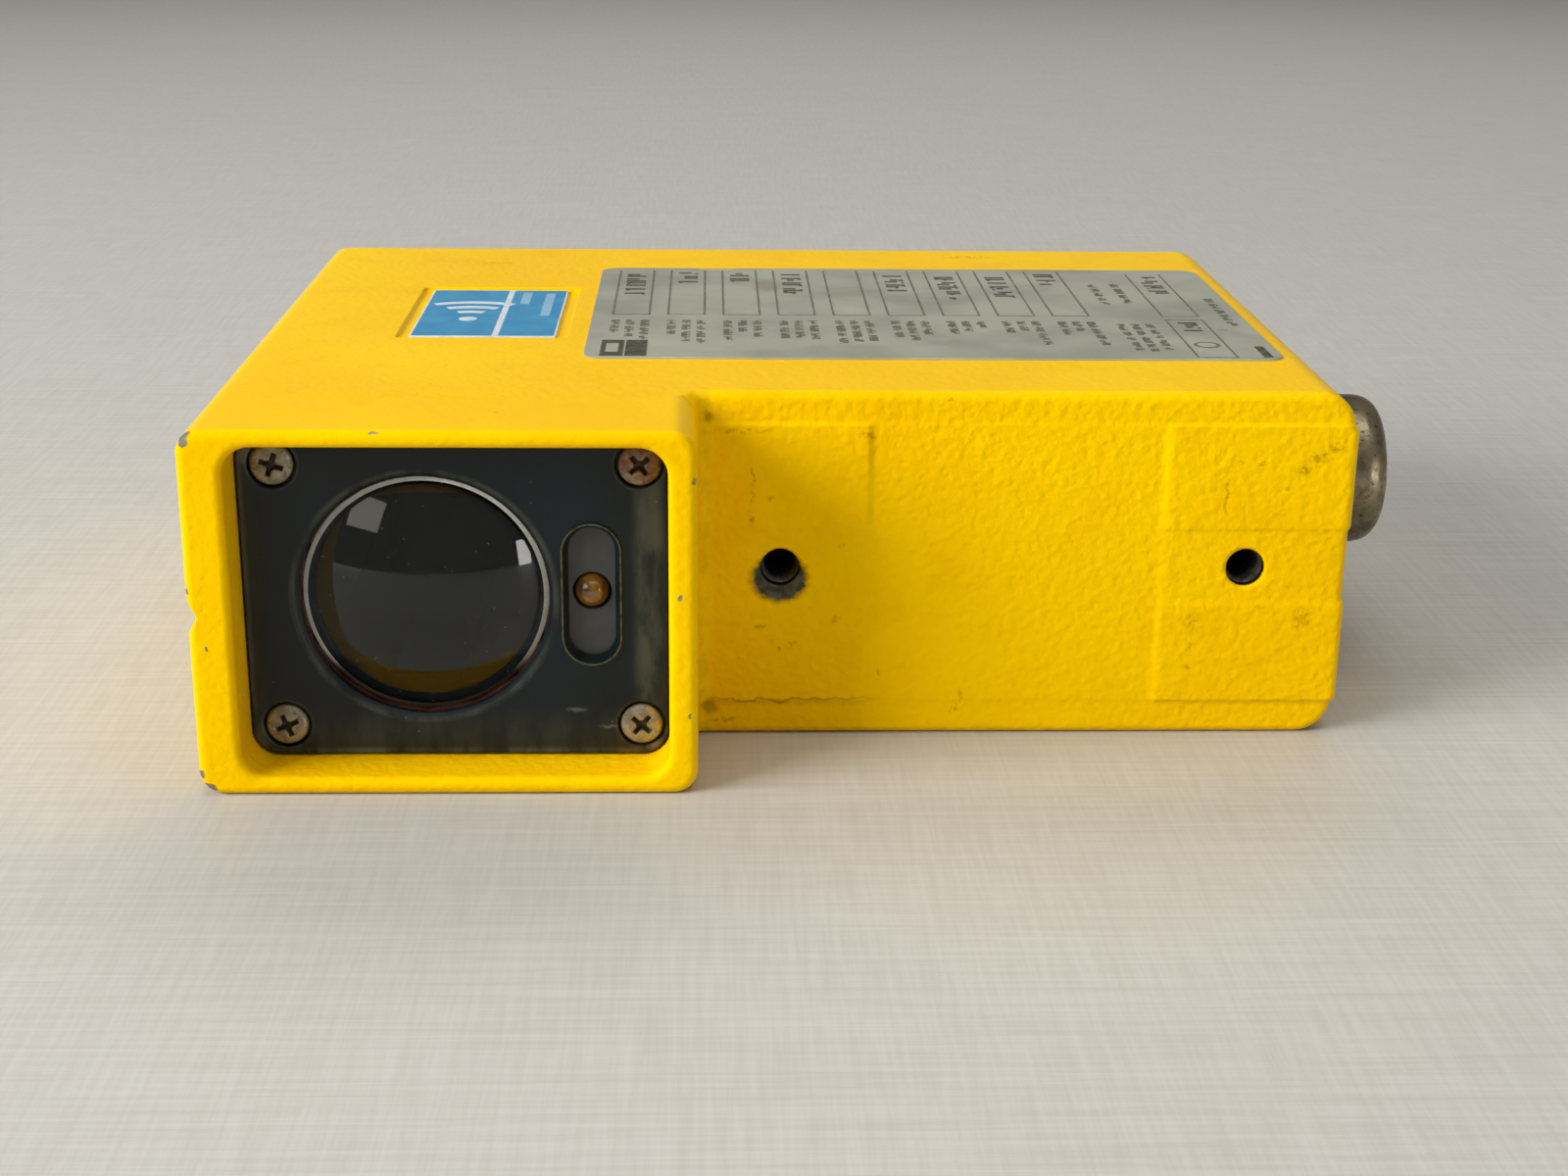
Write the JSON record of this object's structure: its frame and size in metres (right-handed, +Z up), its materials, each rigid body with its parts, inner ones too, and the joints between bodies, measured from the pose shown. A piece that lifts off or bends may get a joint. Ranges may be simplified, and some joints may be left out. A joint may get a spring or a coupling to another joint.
{
  "type": "optical lidar sensor head",
  "caption": "Flat L-shaped die-cast optical ranging sensor head with one lens behind a recessed front frame, a rear service cover and a round connector.",
  "frame": {"origin": "middle of the base under the whole object's box, on the surface that the housing rests on", "axes": "+X along the housing towards the connector, +Z up through the flat housing's thickness; the lens looks along -Y and the rear cover faces +Y"},
  "size_m": [0.1846, 0.136, 0.0534],
  "materials": {
    "painted_yellow": "satin",
    "frame_black": "satin",
    "seal_rubber": "matte",
    "lens_glass": "gloss",
    "window_grey": "satin",
    "led_amber": "gloss",
    "screw_steel": "satin",
    "connector_nickel": "satin",
    "contact_gold": "gloss",
    "board_green": "satin",
    "label_foil": "satin",
    "badge_blue": "satin",
    "core_steel": "matte",
    "coil_tape": "matte",
    "component_blue": "gloss",
    "wire_grey": "matte",
    "plastic_white": "satin",
    "bare_aluminium": "satin"
  },
  "bodies": {
    "sensor_body": {"housing": "painted_yellow", "rear_cover": "painted_yellow", "front_frame": "frame_black", "lens_retainer": "frame_black", "optics_tube": "frame_black", "board_header": "frame_black", "connector_insert": "frame_black", "rear_gasket": "seal_rubber", "frame_gasket": "seal_rubber", "lens_seal": "seal_rubber", "adjuster_seal": "seal_rubber", "connector_seal": "seal_rubber", "lens": "lens_glass", "beam_splitter": "lens_glass", "indicator_window": "window_grey", "indicator_led": "led_amber", "cover_screw_1": "screw_steel", "cover_screw_2": "screw_steel", "cover_screw_3": "screw_steel", "cover_screw_4": "screw_steel", "frame_screw_1": "screw_steel", "frame_screw_2": "screw_steel", "frame_screw_3": "screw_steel", "frame_screw_4": "screw_steel", "board_screw_1": "screw_steel", "board_screw_2": "screw_steel", "board_screw_3": "screw_steel", "board_screw_4": "screw_steel", "mode_switch_body": "screw_steel", "connector_shell": "connector_nickel", "connector_nut": "connector_nickel", "emitter_diode": "contact_gold", "receiver_diode": "contact_gold", "contact_pin_1": "contact_gold", "contact_pin_2": "contact_gold", "contact_pin_3": "contact_gold", "contact_pin_4": "contact_gold", "contact_pin_5": "contact_gold", "contact_pin_6": "contact_gold", "led_board": "board_green", "optics_board": "board_green", "main_board": "board_green", "rear_board": "board_green", "terminal_block": "board_green", "type_label": "label_foil", "badge_label": "badge_blue", "transformer_core": "core_steel", "transformer_coil": "coil_tape", "output_relay": "component_blue", "trimmer_body": "component_blue", "supply_loom": "wire_grey", "signal_ribbon": "wire_grey", "smoothing_capacitor": "wire_grey", "emitter_carrier": "bare_aluminium", "fuse": "bare_aluminium", "heat_sink": "bare_aluminium"},
    "coupling_ring": {"coupling_ring": "connector_nickel"},
    "sensitivity_adjuster": {"trimmer_rotor": "plastic_white", "adjuster_spindle": "plastic_white"},
    "mode_selector": {"mode_switch_slider": "frame_black"}
  },
  "joints": [
    {"name": "coupling_turn", "type": "hinge", "parent": "sensor_body", "child": "coupling_ring", "pos_m": [0.08465, 0.009, 0.0265], "axis": [1, 0, 0], "continuous": true},
    {"name": "sensitivity_turn", "type": "hinge", "parent": "sensor_body", "child": "sensitivity_adjuster", "pos_m": [-0.01035, 0.057, 0.031], "axis": [0, 1, 0], "range_deg": [-135, 135]},
    {"name": "mode_slide", "type": "slide", "parent": "sensor_body", "child": "mode_selector", "axis": [1, 0, 0], "range_m": [0, 0.004]}
  ]
}
